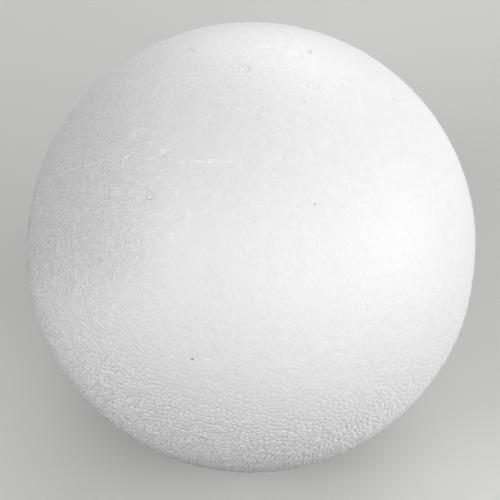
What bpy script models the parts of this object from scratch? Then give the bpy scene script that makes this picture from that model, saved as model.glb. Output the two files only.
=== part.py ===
"""A 300 mm craft ball of expanded polystyrene, steam-moulded in one piece in a mould of two halves.

The ball is turned about the mould's axis, local Z, with its parting line on the plane z = 0. The steam
vents of the mould leave round marks in it. It then lies as it was found, with the mould's axis lifted
and turned from the horizontal. Metres, +Z up, origin at the ball's centre.
"""

import math

import bmesh
import bpy
from mathutils import Matrix, Vector

# Driving dimensions
BALL_DIAMETER = 0.300

# Parting line: a low ridge of flash, where the skin draws in towards the joint of the two halves
FLASH_WIDTH = 0.0014
FLASH_HEIGHT = 0.0003
WAIST_DEPTH = 0.0008
WAIST_REACH = 0.025

# Steam vent marks: shallow round recesses, some with a ring of stubs round a middle one
VENT_DIAMETER = 0.0066
VENT_DEPTH = 0.0005
VENT_PITCH = 0.052
STUB_DIAMETER = 0.0011
STUB_HEIGHT = 0.0003
STUB_CIRCLE = 0.0036
STUBS_ROUND = 6

# Pits between beads that never met, and one nick
PIT_DIAMETER = 0.0011
PIT_FLOOR_DIAMETER = 0.0006
PIT_DEPTH = 0.0014
NICK_LENGTH = 0.0030
NICK_WIDTH = 0.0007

# How the ball lies: the mould's axis, from the horizontal and from +Y towards +X
MOULD_LIFT = math.radians(22.0)
MOULD_TURN = math.radians(9.0)

# Places on the ball, in degrees: round the parting line from the upper side, then above it (-90 to 90)
STUBBED_VENTS = [(-28.6, -8.5), (-19.7, -9.3), (-2.5, -27.3)]
PLAIN_VENTS = [
    (-25.8, 6.2), (-17.4, 1.2), (-21.2, 33.7), (-2.6, 26.9), (16.3, 24.8), (28.8, 17.1),
    (-9.3, -40.7), (6.5, -45.9), (18.8, -49.8), (27.2, -42.1), (-15.4, 18.0),
]
PITS = [(-7.9, -48.0), (19.5, -7.0), (6.2, -13.4), (31.8, 40.4), (11.6, 7.5), (22.2, 3.8)]
NICK = (15.0, 38.9)
UPPER_SIDE = (4.6, -19.5)
UPPER_SIDE_SPREAD = 84.0

# Smoothness of the round shapes
ROUND_STEPS = 72
HALF_ROWS = 18
VENT_SIDES = 12
STUB_SIDES = 6
PIT_SIDES = 6
CUT_CLEARANCE = 0.001
STUB_ROOT = 0.0003
POLE_WELD = 0.00001
SHARP_ANGLE = math.radians(40.0)

FOAM_COLOUR = (0.90, 0.905, 0.90, 1.0)
FOAM_ROUGHNESS = 0.55


def clear_scene():
    for thing in list(bpy.data.objects):
        bpy.data.objects.remove(thing)


def skin_radius(latitude):
    """Radius of the skin at an angle above the parting plane, in radians."""
    radius = BALL_DIAMETER / 2
    arc = radius * latitude
    return radius - WAIST_DEPTH * math.exp(-((arc / WAIST_REACH) ** 2))


def direction(longitude, latitude):
    """Unit vector of a place given in degrees."""
    round_line = math.radians(longitude)
    above = math.radians(latitude)
    return Vector((
        math.cos(above) * math.sin(round_line),
        -math.cos(above) * math.cos(round_line),
        math.sin(above),
    ))


def standing(longitude, latitude, rise):
    """Matrix that stands a shape on the skin at a place, its Z outwards, its middle raised by rise."""
    out = direction(longitude, latitude)
    middle = out * (skin_radius(math.radians(latitude)) + rise)
    upright = out.to_track_quat("Z", "Y").to_matrix().to_4x4()
    return Matrix.Translation(middle) @ upright


def object_from(name, shape, carrier):
    """Object made of a bmesh, carried by the mould's frame."""
    mesh = bpy.data.meshes.new(name)
    bmesh.ops.recalc_face_normals(shape, faces=shape.faces[:])
    shape.to_mesh(mesh)
    shape.free()
    thing = bpy.data.objects.new(name, mesh)
    thing.parent = carrier
    bpy.context.scene.collection.objects.link(thing)
    return thing


def profile_points():
    """Half outline of the ball, from its lower pole to its upper one, with the flash at its middle."""
    flash_edge = FLASH_WIDTH / BALL_DIAMETER
    upper = []
    for row in range(HALF_ROWS + 1):
        latitude = flash_edge + (math.pi / 2 - flash_edge) * row / HALF_ROWS
        radius = skin_radius(latitude)
        upper.append((radius * math.cos(latitude), radius * math.sin(latitude)))
    lower = [(across, -up) for across, up in reversed(upper)]
    crest = [(skin_radius(0.0) + FLASH_HEIGHT, 0.0)]
    return lower + crest + upper


def turned_ball():
    """The ball's skin, spun from its half outline."""
    shape = bmesh.new()
    points = [shape.verts.new((across, 0.0, up)) for across, up in profile_points()]
    for first, second in zip(points, points[1:]):
        shape.edges.new((first, second))
    bmesh.ops.spin(
        shape,
        geom=shape.verts[:] + shape.edges[:],
        cent=(0.0, 0.0, 0.0),
        axis=(0.0, 0.0, 1.0),
        angle=2 * math.pi,
        steps=ROUND_STEPS,
        use_merge=True,
    )
    bmesh.ops.remove_doubles(shape, verts=shape.verts[:], dist=POLE_WELD)
    return shape


def vent_rings():
    """Latitudes of the rings of vents in both halves, a vent pitch apart from the parting line out."""
    pitch = math.degrees(VENT_PITCH / (BALL_DIAMETER / 2))
    above = [pitch * (ring + 0.5) for ring in range(int(90.0 / pitch))]
    return [-latitude for latitude in above] + above


def far_vents():
    """Vents of the sides turned away and below, on the mould's rings."""
    middle = direction(*UPPER_SIDE)
    places = []
    for latitude in vent_rings():
        round_ring = math.pi * BALL_DIAMETER * math.cos(math.radians(latitude))
        count = max(1, round(round_ring / VENT_PITCH))
        for step in range(count):
            longitude = 360.0 * step / count
            away = math.degrees(direction(longitude, latitude).angle(middle))
            if away > UPPER_SIDE_SPREAD:
                places.append((longitude, latitude))
    return places


def vent_cutters(places):
    """Short round plugs, one for each vent, that reach to the vent's floor."""
    shape = bmesh.new()
    depth = VENT_DEPTH + CUT_CLEARANCE
    for longitude, latitude in places:
        bmesh.ops.create_cone(
            shape,
            cap_ends=True,
            segments=VENT_SIDES,
            radius1=VENT_DIAMETER / 2,
            radius2=VENT_DIAMETER / 2,
            depth=depth,
            matrix=standing(longitude, latitude, depth / 2 - VENT_DEPTH),
        )
    return shape


def vent_stubs(places):
    """Seven low stubs on the floor of each stubbed vent."""
    shape = bmesh.new()
    height = STUB_HEIGHT + STUB_ROOT
    middle = STUB_HEIGHT - VENT_DEPTH - height / 2
    spots = [(0.0, 0.0)]
    for step in range(STUBS_ROUND):
        turn = 2 * math.pi * step / STUBS_ROUND
        spots.append((STUB_CIRCLE / 2 * math.cos(turn), STUB_CIRCLE / 2 * math.sin(turn)))
    for longitude, latitude in places:
        vent = standing(longitude, latitude, middle)
        for across, along in spots:
            bmesh.ops.create_cone(
                shape,
                cap_ends=True,
                segments=STUB_SIDES,
                radius1=STUB_DIAMETER / 2,
                radius2=STUB_DIAMETER / 2,
                depth=height,
                matrix=vent @ Matrix.Translation((across, along, 0.0)),
            )
    return shape


def pit_cutters():
    """Small pits, tapered to a blunt floor, and the nick."""
    shape = bmesh.new()
    depth = PIT_DEPTH + CUT_CLEARANCE
    for longitude, latitude in PITS:
        bmesh.ops.create_cone(
            shape,
            cap_ends=True,
            segments=PIT_SIDES,
            radius1=PIT_FLOOR_DIAMETER / 2,
            radius2=PIT_DIAMETER / 2,
            depth=depth,
            matrix=standing(longitude, latitude, depth / 2 - PIT_DEPTH),
        )
    slit = Matrix.Diagonal((NICK_WIDTH, NICK_LENGTH, depth, 1.0))
    bmesh.ops.create_cube(shape, size=1.0, matrix=standing(*NICK, depth / 2 - PIT_DEPTH) @ slit)
    return shape


def hide_tool(thing):
    thing.hide_render = True
    thing.display_type = "WIRE"


def shape_with(ball, name, operation, tool):
    """Boolean of the ball with a hidden tool."""
    hide_tool(tool)
    step = ball.modifiers.new(name, "BOOLEAN")
    step.operation = operation
    step.solver = "EXACT"
    step.use_self = True
    step.object = tool


def foam_material():
    """Bare expanded polystyrene: white, satin where the beads' skins met the mould."""
    foam = bpy.data.materials.new("expanded_polystyrene")
    foam.use_nodes = True
    shader = foam.node_tree.nodes["Principled BSDF"]
    shader.inputs["Base Color"].default_value = FOAM_COLOUR
    shader.inputs["Roughness"].default_value = FOAM_ROUGHNESS
    shader.inputs["Metallic"].default_value = 0.0
    foam.diffuse_color = FOAM_COLOUR
    return foam


def build():
    clear_scene()
    mould = bpy.data.objects.new("mould_frame", None)
    mould.rotation_euler = (MOULD_LIFT - math.pi / 2, 0.0, -MOULD_TURN)
    bpy.context.scene.collection.objects.link(mould)

    ball = object_from("ball", turned_ball(), mould)
    ball.data.materials.append(foam_material())
    ball.data.shade_smooth()
    ball.data.set_sharp_from_angle(angle=SHARP_ANGLE)

    vents = STUBBED_VENTS + PLAIN_VENTS + far_vents()
    shape_with(ball, "vents", "DIFFERENCE", object_from("vent_cutters", vent_cutters(vents), mould))
    shape_with(ball, "stubs", "UNION", object_from("vent_stubs", vent_stubs(STUBBED_VENTS), mould))
    shape_with(ball, "pits", "DIFFERENCE", object_from("pit_cutters", pit_cutters(), mould))


build()
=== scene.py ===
"""The look of a 300 mm craft ball of expanded polystyrene.

The ball's skin is a closed mesh of fused beads. Each bead is a low crown inside the border that it shares
with its neighbours, as the beads press flat against the mould. The steam vents' marks and the pits are beads
of other shapes, set into the same mesh, and the parting line's flash stands up from it. The finish adds the
ragged run of the parting line, the creases and the fine grit. Lengths are in metres.
"""

import math

import bmesh
import bpy
import numpy as np
from mathutils import Matrix, Vector, noise
from mathutils.geometry import delaunay_2d_cdt
from mathutils.kdtree import KDTree


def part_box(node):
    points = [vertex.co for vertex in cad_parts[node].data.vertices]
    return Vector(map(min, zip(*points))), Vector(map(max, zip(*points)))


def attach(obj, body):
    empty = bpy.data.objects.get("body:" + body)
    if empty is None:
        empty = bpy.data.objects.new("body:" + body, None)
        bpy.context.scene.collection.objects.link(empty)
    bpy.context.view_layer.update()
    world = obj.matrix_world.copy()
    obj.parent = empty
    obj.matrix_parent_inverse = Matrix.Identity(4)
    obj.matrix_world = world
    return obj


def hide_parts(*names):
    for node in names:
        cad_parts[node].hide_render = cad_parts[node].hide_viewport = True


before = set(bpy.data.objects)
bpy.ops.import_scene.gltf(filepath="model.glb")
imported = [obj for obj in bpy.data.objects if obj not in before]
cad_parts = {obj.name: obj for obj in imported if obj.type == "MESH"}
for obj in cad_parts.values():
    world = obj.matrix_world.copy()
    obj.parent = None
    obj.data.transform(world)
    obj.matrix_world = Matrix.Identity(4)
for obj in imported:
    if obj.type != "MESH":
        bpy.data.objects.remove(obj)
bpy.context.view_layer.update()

# The ball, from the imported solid
ball_low, ball_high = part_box("ball")
BALL_RADIUS = max(high - low for low, high in zip(ball_low, ball_high)) / 2

# How the ball lies: the mould's axis, from the horizontal and from +Y towards +X
MOULD_LIFT = math.radians(22.0)
MOULD_TURN = math.radians(9.0)
MOULD = Matrix.Rotation(-MOULD_TURN, 3, "Z") @ Matrix.Rotation(MOULD_LIFT - math.pi / 2, 3, "X")
UPWARDS = MOULD.transposed() @ Vector((0.0, 0.0, 1.0))
LEFTWARDS = MOULD.transposed() @ Vector((-1.0, 0.0, 0.0))

# Beads
BEAD_PITCH = 0.0040
BEAD_SCATTER = 0.36
RELAX_ROUNDS = 2
GROOVE_DEPTH = 0.00020
GROOVE_SPREAD = 0.00008
CROWN_SPREAD = 0.00003
OPEN_CORNER_SHARE = 0.02
OPEN_CORNER_DEPTH = 0.00050
CORNER_WELD = 0.0004
MARK_CLEARANCE = 0.0008
BEAD_CLEARANCE = 0.55
POLE_CLEARANCE = 0.5
SWELL = 0.00018
SWELL_SCALE = 26.0

# The beads are calm on the side that touched the mould hardest, and stand out more away from it
CALM_SIDE = (11.5, 12.0)
CALM_RELIEF = 0.55
FULL_RELIEF = 4.2
FAR_RELIEF = 1.5
LEFT_RELIEF = 0.3
LEFT_SIDE = (0.2, 0.7)
UNEVEN_RELIEF = 0.2
UNEVEN_SCALE = 9.0

# Degrees from the calm side's middle at which the relief starts to rise, is full, and has dropped again
CALM_END = 52.0
FULL_AT = 113.0
FAR_START = 145.0

# Thin raised edges, where foam squeezed up between beads
RIDGE_FILL = 0.6
RAISED_LEAST = 0.75
PIP_SHARE = 0.05
PIP_STRENGTH = (0.1, 0.9)

# Arcs of such edges, with more of them near a stretch of the parting line
ARC_SHARE = 0.008
ARC_SHARE_NEAR_LINE = 0.08
ARC_STRENGTH = (0.3, 0.8)
LINE_STRETCH = (-25.0, 3.0)
LINE_STRETCH_REACH = 0.42

# Lips on the upper side of the beads that stand out most, and on the outer side of those on the left
LIP_SHARE = 0.3
LIP_RELIEF = (1.6, 3.6)
SIDE_LIP_SHARE = 0.12
SIDE_LIP_SIDE = (0.3, 0.7)

# Parting line
WAIST_DEPTH = 0.0008
WAIST_REACH = 0.025
FLASH_STEP = 2.0
FLASH_WAVES = [(19, 0.35), (53, 0.45), (107, 0.3)]
FLASH_LIFT = 0.00015
FLASH_FOOT = 0.0015
FAINT_FLASH = (0.0, 0.12)
FAINT_FLASH_END = 95.0
FAR_FLASH = (0.2, 0.8)

# Millimetres from a line at which its mark ends, and how far a crease reaches to its sides and past its ends
LINE_MARK_END = 6.0
CREASE_REACH = 2.2
CREASE_END = 0.4

# Steam vent marks
VENT_DIAMETER = 0.0066
VENT_DEPTH = 0.00045
VENT_PITCH = 0.052
VENT_RIM_BEADS = 12
VENT_RIM_OUT = 0.0002
VENT_RIM_HEIGHT = 0.00005
VENT_MARK_END = 2.5
STUB_CIRCLE = 0.0036
STUBS_ROUND = 6
STUB_HEIGHT = 0.00030

# How much of its relief the top of a bead keeps in the finish: all, but for the vents' floors and rims
TOP_RELIEF = {"floor": 0.25, "rim": 0.3}
STUB_RELIEF = 0.6

# Pits
PIT_DEPTH = 0.0012
PIT_LIP_BEADS = 6
PIT_LIP_DEPTH = 0.0002
PIT_LIP_DARKNESS = 0.7

# Vents, in degrees round the parting line from the upper side and above it, each with its depth, up to 1
STUBBED_VENTS = [(-28.6, -8.5, 0.8), (-19.7, -9.3, 1.0), (-2.5, -27.3, 0.35)]
PLAIN_VENTS = [
    (-25.8, 6.2, 0.8), (-17.4, 1.2, 0.4), (-21.2, 33.7, 0.9), (-2.6, 26.9, 1.0), (16.3, 24.8, 0.5),
    (28.8, 17.1, 0.2), (-9.3, -40.7, 0.5), (6.5, -45.9, 0.25), (18.8, -49.8, 0.2), (27.2, -42.1, 0.2),
    (-15.4, 18.0, 0.5),
]
FAR_VENT_DEPTH = 0.6
UPPER_SIDE = (4.6, -19.5)
UPPER_SIDE_SPREAD = 84.0

# Pits, each with the radius of its lip in millimetres and how dark it is, up to 1
PITS = [
    (-7.9, -48.0, 0.64, 1.0), (19.5, -7.0, 0.62, 0.65), (6.2, -13.4, 0.60, 0.45), (31.8, 40.4, 0.6, 0.5),
    (11.6, 7.5, 0.6, 0.15), (22.2, 3.8, 0.6, 0.15), (15.0, 39.5, 0.55, 0.5), (15.0, 38.6, 0.5, 0.4),
]

# The stretch of the parting line that shows most, and how far it stands up, up to 1
FLASH_SHOWING = [
    (-71.5, 1.8, 0.5), (-59.8, 0.4, 0.8), (-53.0, 0.2, 1.0), (-48.1, 0.1, 1.0), (-45.9, 0.5, 0.9),
    (-42.7, 0.6, 0.9), (-38.8, -0.1, 1.0), (-37.3, 1.0, 1.0), (-34.9, 0.7, 1.0), (-33.0, 1.1, 1.0),
    (-31.5, 2.4, 0.9), (-29.5, 0.6, 0.7), (-28.0, 0.4, 0.7), (-26.9, 1.7, 0.7), (-24.6, 1.8, 0.7),
    (-22.8, 1.0, 0.8), (-21.0, -0.6, 0.9), (-19.6, 0.6, 1.0), (-18.3, 1.9, 1.0), (-17.2, 1.5, 1.0),
    (-16.3, -0.5, 1.0), (-14.7, -0.7, 1.0), (-13.1, -1.2, 1.0), (-12.0, -0.4, 0.9), (-10.2, -0.9, 1.0),
    (-9.0, -0.7, 0.9), (-7.2, -0.6, 0.8), (-4.3, -0.4, 0.6), (-2.0, -0.6, 0.3), (0.5, 0.2, 0.0),
    (4.6, 0.7, 0.0),
]

# Creases, each with how far it stands up
CREASES = [
    (0.9, [(-18.3, 1.9), (-16.6, 2.4), (-15.8, 1.3), (-16.8, 0.2), (-18.7, -0.7)]),
    (0.8, [(-21.1, 7.8), (-21.4, 6.8), (-21.7, 4.8), (-21.6, 2.6)]),
    (0.8, [(-10.3, 6.8), (-11.7, 7.7), (-12.7, 8.1), (-13.3, 6.7)]),
    (0.5, [(-25.3, -7.0), (-22.8, -6.7), (-20.7, -6.3)]),
    (0.6, [(-22.1, -15.3), (-18.6, -13.7), (-14.7, -13.0)]),
    (0.5, [(-20.9, -18.2), (-16.0, -17.0)]),
    (0.8, [(-38.9, -11.5), (-37.3, -9.3)]),
    (0.8, [(-35.7, -13.4), (-33.7, -11.2)]),
    (0.9, [(-51.8, -9.7), (-50.9, -7.9)]),
    (0.6, [(-37.9, -4.7), (-37.8, -1.3)]),
    (0.6, [(-23.8, -20.0), (-24.4, -22.3)]),
    (0.7, [(2.9, 7.5), (4.6, 8.8), (6.0, 7.6), (8.4, 8.1)]),
    (0.6, [(-2.2, 13.8), (0.2, 12.9)]),
    (0.9, [(-26.5, 7.2), (-27.1, 6.3), (-26.7, 4.9)]),
]

# Finish of the grooves and the raised edges, in their bump and in their painted shade and highlight
GROOVE_SHARPNESS = 3.8
GROOVE_BUMP_LIMIT = 2.4
CREST_SHARPNESS = 5.0
BUMP_DISTANCE = 0.0002

# Finish of the parting line and the creases: their edge in millimetres, how they wander, and where they break
LINE_EDGE = (0.15, 0.75)
WANDER_SCALE = 230.0
WANDER_REACH = 3.0
BREAK_SCALE = 150.0
BREAK_EDGE = (0.28, 0.38)

# Finish of the vents, in shares of their radius: the step down, its lip, and how far the grit stays calm
VENT_STEP = (0.80, 1.02)
VENT_LIP = (1.02, 1.25)
VENT_CALM = (0.9, 1.5)
VENT_GRIT = 0.3

# Coarse grit: where it fades out, from the upper part down and from the left to the right
UPPER_LEAN = (0.67, 0.74)
UPPER_EDGE = (-0.055, 0.000)
LOW_GRIT = 0.12
COARSE_EDGE = (-0.105, -0.018)
SPECK_EDGE = (-0.105, -0.035)

# The grit itself, and in it the bright specks painted as glints, the strokes, and the dark spots painted as
# shade, as ranges of its grain
GRIT_SCALE = 900.0
COARSE_GRIT = 7.6
FINE_GRIT = 0.6
GLINT_GRAIN = (0.60, 0.66)
SHADE_SPOT_GRAIN = (0.36, 0.43)
STROKE_SCALE = 430.0
STROKE_STRETCH = (1.0, 1.0, 0.4)
STROKE_GRAIN = (0.64, 0.72)

# How white and how glossy the foam is
FOAM_TONE = 0.83
FOAM_GREEN = 1.002
MOTTLE_SCALE = 28.0
PIT_SHADE = (0.16, 0.60)
PIT_TONE = 0.02
FOAM_IOR = 1.45
CALM_ROUGHNESS = 0.46
FULL_ROUGHNESS = 0.27
GLOSSY_RELIEF = (2.5, 4.5)

# Camera: where the photograph was taken from, and where the ball sits in its 500 pixel frame
CAMERA_ELEVATION = math.radians(48.0)
CAMERA_DISTANCE = 1.30
FRAME_PIXELS = 500
BALL_PIXEL_RADIUS = 225.4
BALL_PIXEL_CENTRE = (250.96, 247.37)
SENSOR_WIDTH = 36.0

# The floor's colours as it lights the ball and as it is seen, and where it fades into the pale room
FLOOR_LIT = (0.11, 0.115, 0.11, 1.0)
FLOOR_SEEN = (0.62, 0.62, 0.61, 1.0)
ROOM_TONE = 0.6
FLOOR_SIZE = 6.0
FLOOR_REACH = 0.4
FLOOR_END = 1.3

# Soft boxes: name, bearing from the camera's side towards its right, elevation, size and power in watts
LAMP_DISTANCE = 2.2
SOFT_BOXES = [
    ("front_high_box", 0.0, 50.0, 1.6, 10.5),
    ("right_front_box", 39.0, 30.0, 1.6, 15.6),
    ("right_side_box", 81.0, 11.0, 1.6, 37.0),
    ("left_box", -55.0, 32.0, 1.2, 25.6),
    ("back_box", 164.0, 30.0, 1.6, 23.0),
    ("back_low_box", 180.0, 10.0, 1.6, 14.0),
]

SEED = 41


def direction(longitude, latitude):
    """Unit vector, in the mould's frame, of a place given in degrees."""
    round_line = math.radians(longitude)
    above = math.radians(latitude)
    return Vector((
        math.cos(above) * math.sin(round_line),
        -math.cos(above) * math.cos(round_line),
        math.sin(above),
    ))


def beside(place, along, across):
    """The unit vector that lies along and across a place by these lengths on the skin."""
    east = Vector((0.0, 0.0, 1.0)).cross(place).normalized()
    north = place.cross(east)
    return (place + (east * along + north * across) / BALL_RADIUS).normalized()


# Each bead is (unit vector, kind). The kinds meet at corners, whose height follows from them.
def vent_beads(place, stubbed, turn):
    """A round mark: seven stubs or a plain floor inside a ring of rim beads."""
    inner = "stub" if stubbed else "floor"
    beads = [(place, inner)]
    for step in range(STUBS_ROUND):
        angle = turn + 2 * math.pi * step / STUBS_ROUND
        ring = STUB_CIRCLE / 2
        beads.append((beside(place, ring * math.cos(angle), ring * math.sin(angle)), inner))
    for step in range(VENT_RIM_BEADS):
        angle = turn + 2 * math.pi * step / VENT_RIM_BEADS
        ring = VENT_DIAMETER / 2 + VENT_RIM_OUT
        beads.append((beside(place, ring * math.cos(angle), ring * math.sin(angle)), "rim"))
    return beads


def pit_beads(place, radius):
    """A pit, as one sunken bead inside a ring of lip beads."""
    beads = [(place, "pit")]
    for step in range(PIT_LIP_BEADS):
        angle = 2 * math.pi * step / PIT_LIP_BEADS
        beads.append((beside(place, radius * math.cos(angle), radius * math.sin(angle)), "lip"))
    return beads


def flash_line():
    """The parting line's wandering path round the ball: longitudes, latitudes and strengths."""
    rng = np.random.default_rng(SEED + 1)
    phases = rng.uniform(0, 2 * math.pi, len(FLASH_WAVES))
    line = list(FLASH_SHOWING)
    longitude = FLASH_SHOWING[-1][0] + FLASH_STEP
    while longitude < FLASH_SHOWING[0][0] + 360.0 - FLASH_STEP / 2:
        turn = math.radians(longitude)
        latitude = sum(
            reach * math.sin(waves * turn + phase) for (waves, reach), phase in zip(FLASH_WAVES, phases)
        )
        spread = FAINT_FLASH if longitude < FAINT_FLASH_END else FAR_FLASH
        line.append((longitude, latitude, rng.uniform(*spread)))
        longitude += FLASH_STEP
    return np.array(line).T


def flash_marks(places):
    """Distance in millimetres of each unit vector from the parting line's path, and the strength there."""
    line = flash_line()
    longitude = np.degrees(np.arctan2(places[:, 0], -places[:, 1]))
    latitude = np.degrees(np.arcsin(np.clip(places[:, 2], -1.0, 1.0)))
    above = latitude - np.interp(longitude, line[0], line[1], period=360.0)
    strength = np.interp(longitude, line[0], line[2], period=360.0)
    gap = np.radians(above) * BALL_RADIUS * 1000
    return np.clip(gap, -LINE_MARK_END, LINE_MARK_END), strength


def crease_marks(places):
    """Distance in millimetres of each unit vector from the nearest crease, and the strength there."""
    nearest = np.full(len(places), LINE_MARK_END)
    gaps = np.full(len(places), LINE_MARK_END)
    strengths = np.zeros(len(places))
    for strength, path in CREASES:
        spots = [np.array(direction(*place)) for place in path]
        for first, second in zip(spots, spots[1:]):
            wall = np.cross(first, second)
            wall /= np.linalg.norm(wall)
            along = places @ np.cross(wall, first) * BALL_RADIUS * 1000
            gap = places @ wall * BALL_RADIUS * 1000
            length = math.acos(first @ second) * BALL_RADIUS * 1000
            beyond = np.maximum(0.0, np.maximum(-along, along - length))
            away = np.hypot(gap, beyond)
            closer = (away < nearest) & (places @ first > 0)
            nearest[closer] = away[closer]
            gaps[closer] = gap[closer]
            shown = (np.abs(gap) < CREASE_REACH) & (beyond < CREASE_END)
            strengths[closer] = np.where(shown, strength, 0.0)[closer]
    return gaps, strengths


def far_vents():
    """Vents of the sides turned away and below, on the mould's rings."""
    middle = direction(*UPPER_SIDE)
    pitch = math.degrees(VENT_PITCH / BALL_RADIUS)
    above = [pitch * (ring + 0.5) for ring in range(int(90.0 / pitch))]
    places = []
    for latitude in [-ring for ring in above] + above:
        round_ring = 2 * math.pi * BALL_RADIUS * math.cos(math.radians(latitude))
        count = max(1, round(round_ring / VENT_PITCH))
        for step in range(count):
            place = direction(360.0 * step / count, latitude)
            if math.degrees(place.angle(middle)) > UPPER_SIDE_SPREAD:
                places.append(place)
    return places


def tree_of(places):
    tree = KDTree(len(places))
    for number, place in enumerate(places):
        tree.insert(place, number)
    tree.balance()
    return tree


def shaped_beads():
    """The beads of the vents and pits. Where two marks overlap, the first keeps its place."""
    rng = np.random.default_rng(SEED)
    groups = []
    for vent in STUBBED_VENTS:
        groups.append(vent_beads(direction(*vent[:2]), True, rng.uniform(0, 1)))
    for pit in PITS:
        groups.append(pit_beads(direction(*pit[:2]), pit[2] / 1000))
    for place in [direction(*vent[:2]) for vent in PLAIN_VENTS] + far_vents():
        groups.append(vent_beads(place, False, rng.uniform(0, 1)))
    kept = []
    for group in groups:
        tree = tree_of([place for place, kind in kept])
        kept += [
            bead for bead in group if not kept or tree.find(bead[0])[2] * BALL_RADIUS > MARK_CLEARANCE
        ]
    return kept


def free_beads(shaped):
    """Plain beads scattered evenly over the rest of the ball."""
    rng = np.random.default_rng(SEED + 2)
    count = round(4 * math.pi * BALL_RADIUS ** 2 / (BEAD_PITCH ** 2 * math.sqrt(3) / 2))
    number = np.arange(count) + 0.5
    up = 1 - 2 * number / count
    turn = number * math.pi * (3 - math.sqrt(5))
    across = np.sqrt(1 - up ** 2)
    places = np.stack([across * np.cos(turn), across * np.sin(turn), up], axis=1)
    places += rng.normal(0, BEAD_SCATTER * BEAD_PITCH / BALL_RADIUS, places.shape)
    places /= np.linalg.norm(places, axis=1)[:, None]
    tree = tree_of([place for place, kind in shaped])
    clear = BEAD_CLEARANCE * BEAD_PITCH / BALL_RADIUS
    return np.array([place for place in places if tree.find(place)[2] > clear])


def bead_triangles(places):
    """Triangles that join neighbouring beads, all facing outwards. The last bead is at the upper pole.

    The rest are laid out flat by projection from that pole, which keeps circles round, so the flat
    triangles are also the ball's. The pole's own triangles close the outline.
    """
    flat = places[:-1, :2] / (1 - places[:-1, 2:3])
    found = delaunay_2d_cdt([Vector(spot) for spot in flat.tolist()], [], [], 0, 0.0, False)
    triangles = np.array(found[2])
    sides = np.concatenate([triangles[:, [0, 1]], triangles[:, [1, 2]], triangles[:, [2, 0]]])
    side_kinds = np.unique(np.sort(sides, axis=1), axis=0, return_inverse=True, return_counts=True)
    which, uses = side_kinds[1:]
    outline = sides[uses[which.reshape(-1)] == 1]
    pole = np.full(len(outline), len(places) - 1)
    triangles = np.concatenate([triangles, np.stack([outline[:, 1], outline[:, 0], pole], axis=1)])
    a, b, c = (places[triangles[:, k]] for k in range(3))
    outward = np.einsum("ij,ij->i", np.cross(b - a, c - a), a + b + c) > 0
    triangles[~outward] = triangles[~outward][:, ::-1]
    return triangles


def relaxed(places, fixed_count):
    """Moves the free beads towards the middle of their neighbours, as packed beads sit."""
    for round_number in range(RELAX_ROUNDS):
        triangles = bead_triangles(places)
        total = np.zeros_like(places)
        uses = np.zeros(len(places))
        for first, second in ((0, 1), (1, 2), (2, 0)):
            np.add.at(total, triangles[:, first], places[triangles[:, second]])
            np.add.at(total, triangles[:, second], places[triangles[:, first]])
            np.add.at(uses, triangles[:, first], 1)
            np.add.at(uses, triangles[:, second], 1)
        middle = total / uses[:, None]
        middle /= np.linalg.norm(middle, axis=1)[:, None]
        places[fixed_count:-1] = middle[fixed_count:-1]
    return places


def bead_sites():
    """Every bead's unit vector and kind, the shaped ones first and the one at the upper pole last."""
    shaped = shaped_beads()
    plain = free_beads(shaped)
    places = np.concatenate([np.array([place for place, kind in shaped]), plain, [(0.0, 0.0, 1.0)]])
    near_pole = np.linalg.norm(places - places[-1], axis=1) * BALL_RADIUS < POLE_CLEARANCE * BEAD_PITCH
    near_pole[: len(shaped)] = False
    near_pole[-1] = False
    places = relaxed(places[~near_pole], len(shaped))
    kinds = [kind for place, kind in shaped] + ["bead"] * (len(places) - len(shaped))
    return places, kinds


def bead_fans(places):
    """A unit ball of bead cells, each a fan of triangles from its top to the corners of its border."""
    shape = bmesh.new()
    tops = [shape.verts.new(place) for place in places]
    for triangle in bead_triangles(places):
        shape.faces.new([tops[number] for number in triangle])
    joins = shape.edges[:]
    corners = bmesh.ops.poke(shape, faces=shape.faces[:])["verts"]
    meetings = []
    for corner in corners:
        a, b, c = (edge.other_vert(corner) for edge in corner.link_edges)
        meetings.append((a.co, b.co, c.co))
        far_a, far_b, far_c = (b.co - c.co).length, (c.co - a.co).length, (a.co - b.co).length
        corner.co = (a.co * far_a + b.co * far_b + c.co * far_c) / (far_a + far_b + far_c)
    bmesh.ops.rotate_edges(shape, edges=joins)
    for corner, (a, b, c) in zip(corners, meetings):
        middle = (b - a).cross(c - a).normalized()
        corner.co = middle if middle.dot(a) > 0 else -middle
    bmesh.ops.remove_doubles(shape, verts=corners, dist=CORNER_WELD / BALL_RADIUS)
    shape.verts.index_update()
    return shape


def raise_arcs(shape, last, numbers, ridge, rng):
    """Raises part of the border of some beads.

    These are arcs here and there all over, more of them beside the parting line's upper stretch, lips on
    the beads' upper side where they stand out most, and lips on their outer side on the left.
    """
    line = direction(*LINE_STRETCH)
    shape.verts.ensure_lookup_table()
    for top in range(last):
        vert = shape.verts[top]
        near = vert.co.angle(line) < LINE_STRETCH_REACH
        if rng.random() < (ARC_SHARE_NEAR_LINE if near else ARC_SHARE):
            facing = Vector(rng.normal(size=3))
            reach = int(rng.integers(2, 5))
        elif rng.random() < LIP_SHARE * smooth_step(relief_gain(vert.co), *LIP_RELIEF):
            facing = UPWARDS
            reach = 2
        elif rng.random() < SIDE_LIP_SHARE * smooth_step(vert.co.dot(LEFTWARDS), *SIDE_LIP_SIDE):
            facing = LEFTWARDS
            reach = int(rng.integers(2, 4))
        else:
            continue
        around = [edge.other_vert(vert) for edge in vert.link_edges]
        around.sort(key=lambda corner: -corner.co.dot(facing))
        strength = rng.uniform(*ARC_STRENGTH)
        for corner in around[:reach]:
            number = numbers.get(corner.index)
            if number is not None:
                ridge[number] = max(ridge[number], strength)


def smooth_step(value, low, high):
    share = max(0.0, min(1.0, (value - low) / (high - low)))
    return share * share * (3 - 2 * share)


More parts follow.
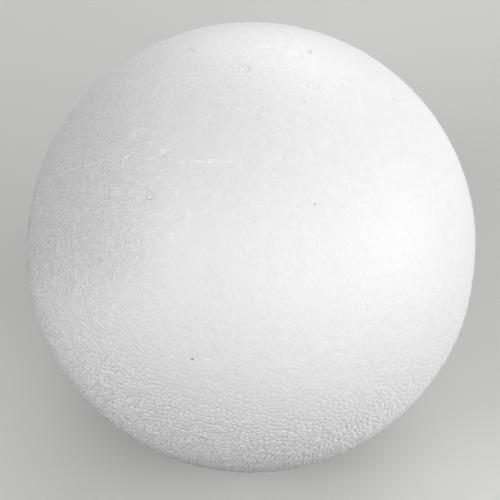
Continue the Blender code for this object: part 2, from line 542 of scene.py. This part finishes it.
def relief_gain(place):
    """How much the beads stand out at a unit vector."""
    away = math.degrees(place.angle(direction(*CALM_SIDE)))
    gain = CALM_RELIEF + (FULL_RELIEF - CALM_RELIEF) * smooth_step(away, CALM_END, FULL_AT)
    gain += (FAR_RELIEF - FULL_RELIEF) * smooth_step(away, FULL_AT, FAR_START)
    gain *= 1 + LEFT_RELIEF * smooth_step(place.dot(LEFTWARDS), *LEFT_SIDE)
    return gain * (1 + UNEVEN_RELIEF * noise.noise(place * UNEVEN_SCALE))


def top_height(kind, gain, deep, rng):
    """Height of a bead's top over the plain skin."""
    heights = {
        "stub": (STUB_HEIGHT - VENT_DEPTH) * deep,
        "floor": -VENT_DEPTH * deep,
        "pit": -PIT_DEPTH,
        "rim": VENT_RIM_HEIGHT,
    }
    return heights.get(kind, CROWN_SPREAD * gain * rng.normal())


def corner_height(kinds, ridge, gain, deep, rng):
    """Height, over the plain skin, of the corner where beads of these kinds meet."""
    if "stub" in kinds or "floor" in kinds:
        return -VENT_DEPTH * deep
    if "pit" in kinds:
        return -PIT_LIP_DEPTH
    groove = -(GROOVE_DEPTH + GROOVE_SPREAD * abs(rng.normal())) * gain
    if ridge == 0 and rng.random() < OPEN_CORNER_SHARE:
        groove = -OPEN_CORNER_DEPTH
    return groove * (1 - RIDGE_FILL * min(1.0, ridge))


def skin_height(place):
    """The waist beside the parting line and the slow swell of the moulded skin, at a unit vector."""
    arc = BALL_RADIUS * math.asin(max(-1.0, min(1.0, place.z)))
    waist = -WAIST_DEPTH * math.exp(-((arc / WAIST_REACH) ** 2))
    return waist + SWELL * noise.noise(place * SWELL_SCALE)


def bead_skin():
    """The ball as a closed mesh of beads, with the marks that its finish needs."""
    rng = np.random.default_rng(SEED + 3)
    places, kinds = bead_sites()
    last = len(kinds)
    shape = bead_fans(places)
    marks = shape.verts.layers.float
    relief = marks.new("relief")
    raised = marks.new("raised")
    vent_reach = marks.new("vent_reach")
    speck = marks.new("speck")
    vent_show = marks.new("vent_show")
    stubbed = marks.new("stubbed")
    strength = marks.new("relief_gain")
    flash_gap = marks.new("flash_gap")
    flash_strength = marks.new("flash_strength")
    crease_gap = marks.new("crease_gap")
    crease_strength = marks.new("crease_strength")
    tone = shape.faces.layers.float.new("bead_tone")

    corners = [vert for vert in shape.verts if vert.index >= last]
    numbers = {corner.index: number for number, corner in enumerate(corners)}
    round_corner = [
        [edge.other_vert(corner) for edge in corner.link_edges if edge.other_vert(corner).index < last]
        for corner in corners
    ]
    ridge = [0.0] * len(corners)
    raise_arcs(shape, last, numbers, ridge, rng)
    for number in range(len(ridge)):
        if rng.random() < PIP_SHARE:
            ridge[number] = max(ridge[number], rng.uniform(*PIP_STRENGTH))

    vents = [direction(*vent[:2]) for vent in STUBBED_VENTS + PLAIN_VENTS] + far_vents()
    depths = [vent[2] for vent in STUBBED_VENTS + PLAIN_VENTS]
    vent_tree = tree_of(vents)
    height = {}
    for vert in shape.verts:
        place, number, gap = vent_tree.find(vert.co)
        vert[vent_reach] = min(VENT_MARK_END, gap * BALL_RADIUS / (VENT_DIAMETER / 2))
        vert[vent_show] = deep = depths[number] if number < len(depths) else FAR_VENT_DEPTH
        vert[strength] = relief_gain(vert.co)
        if vert.index < last:
            kind = kinds[vert.index]
            meeting = {kind}
            height[vert] = top_height(kind, vert[strength], deep, rng)
            vert[relief] = TOP_RELIEF.get(kind, 1.0)
        else:
            number = numbers[vert.index]
            meeting = {kinds[top.index] for top in round_corner[number]}
            height[vert] = corner_height(meeting, ridge[number], vert[strength], deep, rng)
            if ridge[number] > 0:
                vert[raised] = RAISED_LEAST + (1 - RAISED_LEAST) * ridge[number]
        vert[stubbed] = 1.0 if "stub" in meeting else 0.0
        # Pits are coloured dark, their middle most and the corners round them less
        if "pit" in meeting:
            darkness = min(PITS, key=lambda pit: direction(*pit[:2]).angle(vert.co))[3]
            vert[speck] = darkness if vert.index < last else PIT_LIP_DARKNESS * darkness
    spots = np.array([vert.co for vert in shape.verts])
    flash = np.stack(flash_marks(spots), axis=1).tolist()
    crease = np.stack(crease_marks(spots), axis=1).tolist()
    for number, vert in enumerate(shape.verts):
        vert[flash_gap], vert[flash_strength] = flash[number]
        vert[crease_gap], vert[crease_strength] = crease[number]
        foot = 1 - abs(vert[flash_gap]) / (FLASH_FOOT * 1000)
        height[vert] += FLASH_LIFT * vert[flash_strength] * max(0.0, foot)
    for edge in shape.edges:
        edge.smooth = edge.verts[0].index < last or edge.verts[1].index < last
    tones = rng.normal(0, 1, last)
    for face in shape.faces:
        face[tone] = tones[min(vert.index for vert in face.verts)]
        face.smooth = True
    for vert in shape.verts:
        vert.co *= BALL_RADIUS + height[vert] + skin_height(vert.co)
    bmesh.ops.rotate(shape, cent=(0, 0, 0), matrix=MOULD, verts=shape.verts)
    return shape


def piece_from(name, shape):
    mesh = bpy.data.meshes.new(name)
    shape.to_mesh(mesh)
    shape.free()
    piece = bpy.data.objects.new(name, mesh)
    bpy.context.scene.collection.objects.link(piece)
    return piece


class Nodes:
    """Adds nodes to the tree of a material or of the world, and links them."""

    def __init__(self, owner, shader="Principled BSDF"):
        owner.use_nodes = True
        self.tree = owner.node_tree
        self.shader = self.tree.nodes[shader]

    def add(self, kind, inputs=(), **settings):
        node = self.tree.nodes.new(kind)
        for name, value in settings.items():
            setattr(node, name, value)
        for socket, value in dict(inputs).items():
            if isinstance(value, bpy.types.NodeSocket):
                self.tree.links.new(value, node.inputs[socket])
            else:
                node.inputs[socket].default_value = value
        return node

    def math(self, operation, *values, clamp=False):
        node = self.add("ShaderNodeMath", dict(enumerate(values)), operation=operation, use_clamp=clamp)
        return node.outputs[0]

    def total(self, start, *parts):
        """The start value, with each part added by its weight."""
        for value, weight in parts:
            start = self.math("MULTIPLY_ADD", value, weight, start)
        return start

    def mark(self, name):
        return self.add("ShaderNodeAttribute", attribute_name=name).outputs["Fac"]

    def grain(self, place, scale, detail):
        inputs = {"Vector": place, "Scale": scale, "Detail": detail}
        return self.add("ShaderNodeTexNoise", inputs).outputs["Fac"]

    def fade(self, value, low, high, start=0.0, end=1.0):
        """Goes smoothly from start, where the value is low, to end, where it is high."""
        inputs = {"Value": value, "From Min": low, "From Max": high, "To Min": start, "To Max": end}
        return self.add("ShaderNodeMapRange", inputs, interpolation_type="SMOOTHSTEP").outputs["Result"]

    def seen(self):
        """1 where a thing is looked at, mirrored or seen through glass, and 0 where it lights others."""
        path = self.add("ShaderNodeLightPath")
        seen = self.math("MAXIMUM", path.outputs["Is Camera Ray"], path.outputs["Is Glossy Ray"])
        return self.math("MAXIMUM", seen, path.outputs["Is Transmission Ray"])

    def link(self, output, socket):
        self.tree.links.new(output, socket)


def raised_edges(nodes, place):
    """Thin edges that stand up, for the bump and a painted highlight: parts of the beads' borders, the ragged
    parting line and the creases.
    """
    crest = nodes.math("POWER", nodes.mark("raised"), CREST_SHARPNESS)
    grain = nodes.grain(place, WANDER_SCALE, 1.5)
    wander = nodes.math("MULTIPLY_ADD", grain, 2 * WANDER_REACH, -WANDER_REACH)
    broken = nodes.fade(nodes.grain(place, BREAK_SCALE, 1.0), *BREAK_EDGE)
    for name in ("flash", "crease"):
        gap = nodes.math("ABSOLUTE", nodes.math("ADD", nodes.mark(name + "_gap"), wander))
        line = nodes.math("MULTIPLY", nodes.fade(gap, *LINE_EDGE, 1.0, 0.0), nodes.mark(name + "_strength"))
        crest = nodes.math("MAXIMUM", crest, nodes.math("MULTIPLY", line, broken))
    return crest


def vent_parts(nodes, relief, reach):
    """Vent marks: the step down, its soft lip, the stubs in some, and the floor between the stubs. The stubs
    get painted highlight and that floor painted shade.
    """
    shown = nodes.mark("vent_show")
    dip = nodes.math("MULTIPLY", nodes.fade(reach, *VENT_STEP, 1.0, 0.0), shown)
    rim = nodes.math("MULTIPLY", nodes.fade(reach, *VENT_STEP), nodes.fade(reach, *VENT_LIP, 1.0, 0.0))
    rim = nodes.math("MULTIPLY", rim, shown)
    step = nodes.math("MULTIPLY_ADD", dip, -0.7, rim)
    stubbed = nodes.math("MULTIPLY", nodes.mark("stubbed"), shown)
    stub = nodes.math("MULTIPLY", stubbed, nodes.fade(relief, TOP_RELIEF["floor"], STUB_RELIEF))
    between = nodes.math("SUBTRACT", stubbed, stub)
    return step, rim, stub, between


def grit_parts(nodes, place, reach):
    """Fine grit and how coarse it is, and where it is coarse: specks painted as glints, short strokes also
    painted as highlight, and spots painted as shade.

    It is coarse on the upper left, where the beads met the mould least, and calm beside the vents.
    """
    across, behind, up = nodes.add("ShaderNodeSeparateXYZ", {"Vector": place}).outputs
    upper = nodes.math("MULTIPLY_ADD", up, UPPER_LEAN[0], nodes.math("MULTIPLY", behind, UPPER_LEAN[1]))
    upper = nodes.fade(upper, *UPPER_EDGE, LOW_GRIT, 1.0)
    calm = nodes.math("MULTIPLY", nodes.fade(reach, *VENT_CALM, VENT_GRIT, 1.0), upper)
    wide = nodes.math("MULTIPLY", nodes.fade(across, *COARSE_EDGE, 1.0, 0.0), calm)
    side = nodes.math("MULTIPLY", nodes.fade(across, *SPECK_EDGE, 1.0, 0.0), calm)
    grit = nodes.grain(place, GRIT_SCALE, 2.0)
    rough = nodes.math("MULTIPLY_ADD", wide, COARSE_GRIT, FINE_GRIT)
    glint_specks = nodes.math("MULTIPLY", nodes.fade(grit, *GLINT_GRAIN), side)
    drawn = nodes.add("ShaderNodeVectorMath", {0: place, 1: STROKE_STRETCH}, operation="MULTIPLY")
    streaks = nodes.grain(drawn.outputs[0], STROKE_SCALE, 1.0)
    strokes = nodes.math("MULTIPLY", nodes.fade(streaks, *STROKE_GRAIN), side)
    shade_spots = nodes.math("MULTIPLY", nodes.fade(grit, *SHADE_SPOT_GRAIN, 1.0, 0.0), side)
    return grit, rough, glint_specks, strokes, shade_spots


def foam_finish():
    """Bare expanded polystyrene: white, and satin where the beads met the mould, with painted shade and
    highlight in its colour.
    """
    finish = bpy.data.materials.new("moulded_bead_foam")
    nodes = Nodes(finish)
    relief = nodes.mark("relief")
    gain = nodes.mark("relief_gain")
    reach = nodes.mark("vent_reach")
    tone = nodes.mark("bead_tone")
    place = nodes.add("ShaderNodeTexCoord").outputs["Object"]

    groove = nodes.math("POWER", nodes.math("SUBTRACT", 1.0, relief, clamp=True), GROOVE_SHARPNESS)
    step, rim, stub, between = vent_parts(nodes, relief, reach)
    # The vents' lips join the raised edges, and so also get their painted highlight
    crest = nodes.math("MAXIMUM", raised_edges(nodes, place), nodes.math("MULTIPLY", rim, 0.8))
    grit, rough, glint_specks, strokes, shade_spots = grit_parts(nodes, place, reach)

    dent = nodes.math("MULTIPLY", groove, nodes.math("MINIMUM", gain, GROOVE_BUMP_LIMIT))
    height = nodes.total(
        nodes.math("MULTIPLY", dent, -0.5),
        (grit, rough),
        (strokes, 2.4),
        (crest, 1.6),
        (step, 0.8),
        (stub, 0.6),
    )
    bump = nodes.add("ShaderNodeBump", {"Strength": 1.0, "Distance": BUMP_DISTANCE, "Height": height})

    shade = nodes.total(
        FOAM_TONE,
        (nodes.grain(place, MOTTLE_SCALE, 2.0), 0.02),
        (tone, 0.006),
        # Painted shade: the grooves between the beads are coloured darker, more where the beads stand out
        (nodes.math("MULTIPLY", groove, gain), -0.010),
        # Painted glints: bright specks where the grit is coarse
        (glint_specks, 0.30),
        # Painted highlight on the strokes, which also stand up in the bump
        (strokes, 0.22),
        # Painted shade: dark spots where the grit is coarse
        (shade_spots, -0.14),
        # Painted highlight: the raised edges, the parting line, the creases and the vents' lips are coloured
        # lighter
        (crest, 0.17),
        # Painted highlight: the stubs' tops are coloured lighter
        (stub, 0.09),
        # Painted shade: the floor between the stubs is coloured darker
        (between, -0.05),
    )
    # The pits are coloured near black at their middle, and darker round it
    pitted = nodes.fade(nodes.mark("speck"), *PIT_SHADE, 1.0, PIT_TONE)
    shade = nodes.math("MULTIPLY", shade, pitted, clamp=True)
    green = nodes.math("MULTIPLY", shade, FOAM_GREEN)
    colour = nodes.add("ShaderNodeCombineColor", {"Red": shade, "Green": green, "Blue": shade})
    satin = nodes.fade(gain, *GLOSSY_RELIEF, CALM_ROUGHNESS, FULL_ROUGHNESS)
    gloss = nodes.math("MULTIPLY_ADD", tone, 0.05, satin, clamp=True)

    nodes.link(colour.outputs[0], nodes.shader.inputs["Base Color"])
    nodes.link(gloss, nodes.shader.inputs["Roughness"])
    nodes.link(bump.outputs[0], nodes.shader.inputs["Normal"])
    nodes.shader.inputs["IOR"].default_value = FOAM_IOR
    return finish


def floor_finish():
    """Pale floor. It keeps the ball's shadow, and further out it fades into the pale room."""
    finish = bpy.data.materials.new("pale_floor")
    nodes = Nodes(finish)
    seen = nodes.seen()

    # The light that it sends back to the ball is dimmer than it looks
    mix = nodes.add("ShaderNodeMix", {0: seen, 6: FLOOR_LIT, 7: FLOOR_SEEN}, data_type="RGBA")
    nodes.link(mix.outputs[2], nodes.shader.inputs["Base Color"])
    nodes.shader.inputs["Roughness"].default_value = 0.9
    nodes.shader.inputs["Specular IOR Level"].default_value = 0.1

    place = nodes.add("ShaderNodeTexCoord").outputs["Object"]
    away = nodes.add("ShaderNodeVectorMath", {0: place}, operation="LENGTH").outputs["Value"]
    far = nodes.math("MULTIPLY", nodes.fade(away, FLOOR_REACH, FLOOR_END), seen)
    room = nodes.add("ShaderNodeEmission", {"Strength": ROOM_TONE})
    faded = nodes.add("ShaderNodeMixShader", {0: far, 1: nodes.shader.outputs[0], 2: room.outputs[0]})
    nodes.link(faded.outputs[0], nodes.tree.nodes["Material Output"].inputs["Surface"])
    return finish


def floor():
    shape = bmesh.new()
    bmesh.ops.create_grid(shape, x_segments=1, y_segments=1, size=FLOOR_SIZE)
    bmesh.ops.translate(shape, vec=(0.0, 0.0, ball_low[2]), verts=shape.verts)
    ground = piece_from("floor", shape)
    ground.data.materials.append(floor_finish())


def camera():
    """The camera looks down on the ball, moved sideways so that the ball sits where it does in the frame."""
    focal_pixels = BALL_PIXEL_RADIUS / math.tan(math.asin(BALL_RADIUS / CAMERA_DISTANCE))
    view = bpy.data.cameras.new("camera")
    view.sensor_width = SENSOR_WIDTH
    view.lens = SENSOR_WIDTH * focal_pixels / FRAME_PIXELS
    eye = bpy.data.objects.new("camera", view)
    eye.rotation_euler = (math.pi / 2 - CAMERA_ELEVATION, 0.0, 0.0)
    turned = eye.rotation_euler.to_matrix()
    metres = CAMERA_DISTANCE / focal_pixels
    aside = (FRAME_PIXELS / 2 - BALL_PIXEL_CENTRE[0]) * metres
    down = (BALL_PIXEL_CENTRE[1] - FRAME_PIXELS / 2) * metres
    eye.location = turned @ Vector((aside, down, CAMERA_DISTANCE))
    bpy.context.scene.collection.objects.link(eye)
    bpy.context.scene.camera = eye


def soft_light(name, bearing, elevation, size, power):
    """A square soft box that faces the ball. Bearing is from the camera's side, towards its right."""
    lamp = bpy.data.lights.new(name, "AREA")
    lamp.size = size
    lamp.energy = power
    box = bpy.data.objects.new(name, lamp)
    out = Vector((
        math.sin(math.radians(bearing)) * math.cos(math.radians(elevation)),
        -math.cos(math.radians(bearing)) * math.cos(math.radians(elevation)),
        math.sin(math.radians(elevation)),
    ))
    box.location = out * LAMP_DISTANCE
    box.rotation_euler = out.to_track_quat("Z", "Y").to_euler()
    box.visible_camera = False
    bpy.context.scene.collection.objects.link(box)


def light():
    for soft_box in SOFT_BOXES:
        soft_light(*soft_box)
    studio_world()


def studio_world():
    """A pale room where it is seen or mirrored, that sends no light of its own to the ball."""
    world = bpy.data.worlds.new("studio")
    bpy.context.scene.world = world
    nodes = Nodes(world, "Background")
    nodes.link(nodes.math("MULTIPLY", nodes.seen(), ROOM_TONE), nodes.shader.inputs["Strength"])
    nodes.shader.inputs["Color"].default_value = (1.0, 1.0, 1.0, 1.0)


skin = piece_from("beaded_ball", bead_skin())
skin.data.materials.append(foam_finish())
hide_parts("ball")
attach(skin, "root")

floor()
light()
camera()
bpy.context.scene.view_settings.view_transform = "Standard"
